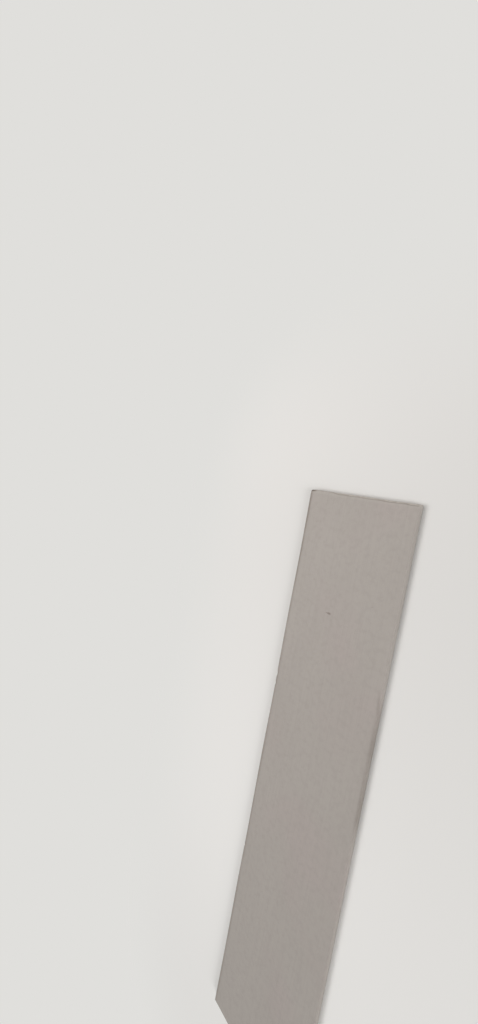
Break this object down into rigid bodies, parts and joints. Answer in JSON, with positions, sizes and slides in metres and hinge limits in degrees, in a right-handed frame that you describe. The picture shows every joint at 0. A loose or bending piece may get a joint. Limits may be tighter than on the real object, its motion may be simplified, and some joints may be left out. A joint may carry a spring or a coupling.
{
  "type": "drywall sheet",
  "caption": "Long narrow strip of gypsum wallboard with an ivory paper face, a brown back liner, a paper-bound long edge and knife-cut sides, for lining a wall or ceiling frame.",
  "frame": {"origin": "middle of the back, where the strip lies on the floor", "axes": "+Z out of the ivory face, +Y along the strip to the end that stood uppermost, +X across it to the paper-bound long edge"},
  "size_m": [0.305, 1.485, 0.0125],
  "materials": {
    "wallboard": "matt ivory face paper, brown paper liner on the back, pale gypsum core bare at the cut sides"
  },
  "bodies": {
    "root": {"drywall_sheet": "wallboard"}
  },
  "joints": []
}
